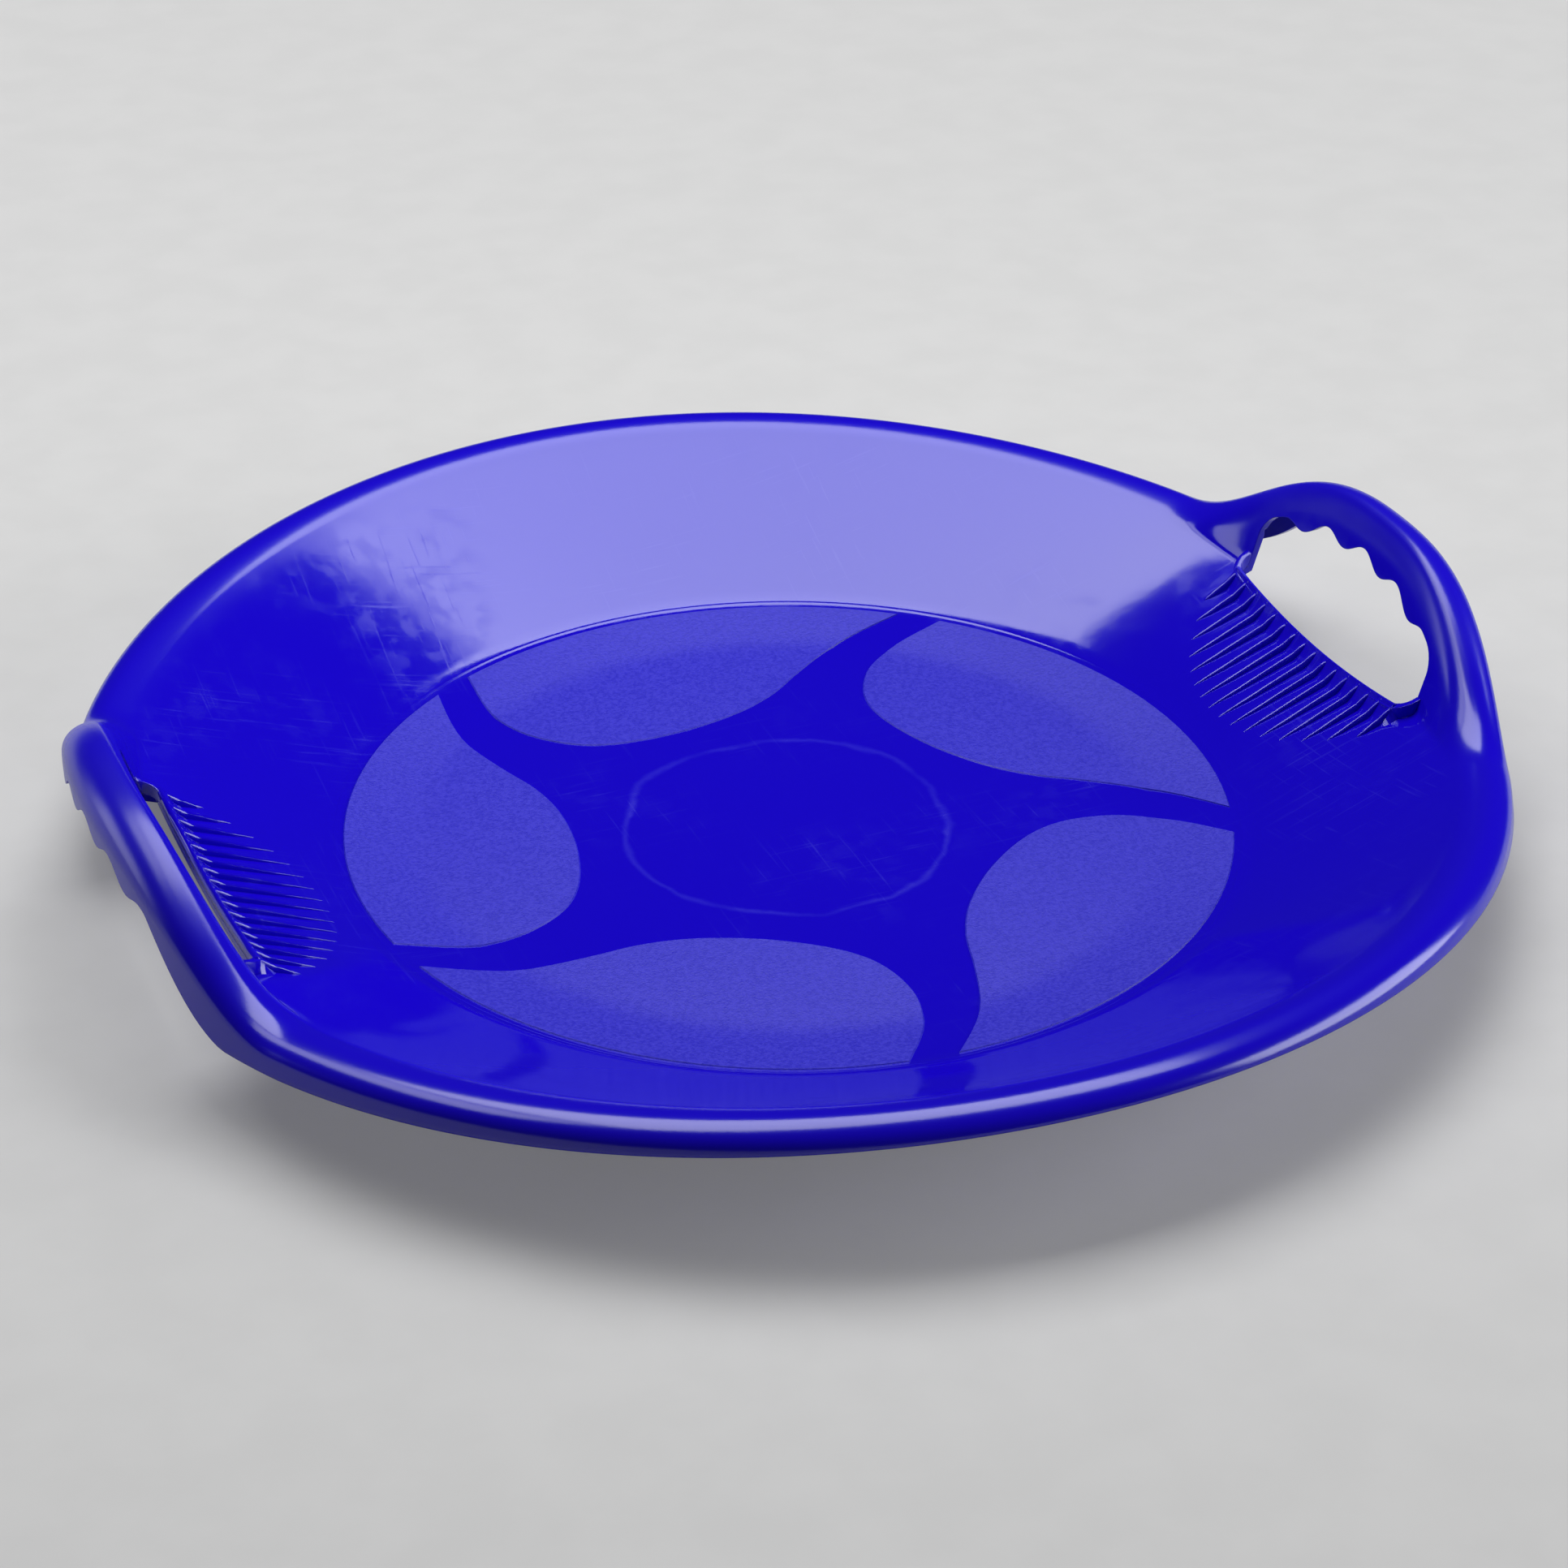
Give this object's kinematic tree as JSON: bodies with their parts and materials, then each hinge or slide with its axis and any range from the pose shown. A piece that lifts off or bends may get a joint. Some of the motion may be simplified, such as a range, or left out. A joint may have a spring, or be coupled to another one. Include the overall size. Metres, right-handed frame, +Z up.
{
  "type": "saucer sled",
  "caption": "Round plastic saucer sled: shallow bowed bowl, rolled rim, raised side grips with finger ridges over open hand holes, ribbed lips and swirled matte seat pads",
  "frame": {"origin": "middle of the flat running face under the seat", "axes": "X through both handles, Y from the near rim to the far rim, Z up out of the bowl"},
  "size_m": [0.5618, 0.566, 0.089],
  "materials": {
    "gloss_shell": "glossy moulded blue",
    "matte_pad": "fine grain, the same blue"
  },
  "bodies": {
    "root": {"seat_floor": "gloss_shell", "seat_pad_1": "matte_pad", "seat_pad_2": "matte_pad", "seat_pad_3": "matte_pad", "seat_pad_4": "matte_pad", "seat_pad_5": "matte_pad", "wall_rear": "gloss_shell", "wall_front": "gloss_shell", "wall_right": "gloss_shell", "wall_left": "gloss_shell", "rim_rear": "gloss_shell", "rim_front": "gloss_shell", "handle_right": "gloss_shell", "handle_left": "gloss_shell", "hand_lip_right": "gloss_shell", "hand_lip_left": "gloss_shell", "lip_ribs_right": "gloss_shell", "lip_ribs_left": "gloss_shell"}
  },
  "joints": []
}
